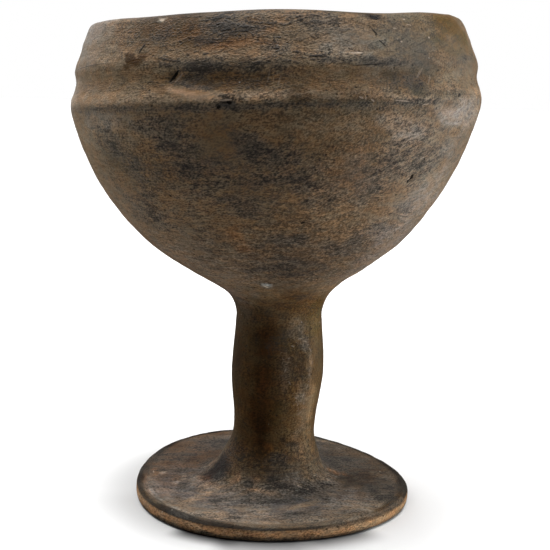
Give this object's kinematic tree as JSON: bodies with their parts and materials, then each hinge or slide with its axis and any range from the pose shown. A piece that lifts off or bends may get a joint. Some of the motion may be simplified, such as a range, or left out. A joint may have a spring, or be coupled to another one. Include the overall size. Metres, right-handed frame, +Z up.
{
  "type": "footed terracotta chalice",
  "caption": "Hand-shaped footed chalice of dark terracotta: a deep hollow keeled bowl with an inward-leaning collar, on a short solid stem and a thin round disc foot.",
  "frame": {"origin": "on the plane that the foot's resting ring stands on, under the middle of the bounding box", "axes": "+Z up from the foot to the mouth, +X to the chalice's right as seen from its front, -Y towards its front"},
  "size_m": [0.1682, 0.1684, 0.2029],
  "materials": {
    "terracotta": "satin"
  },
  "bodies": {
    "root": {"chalice": "terracotta"}
  },
  "joints": []
}
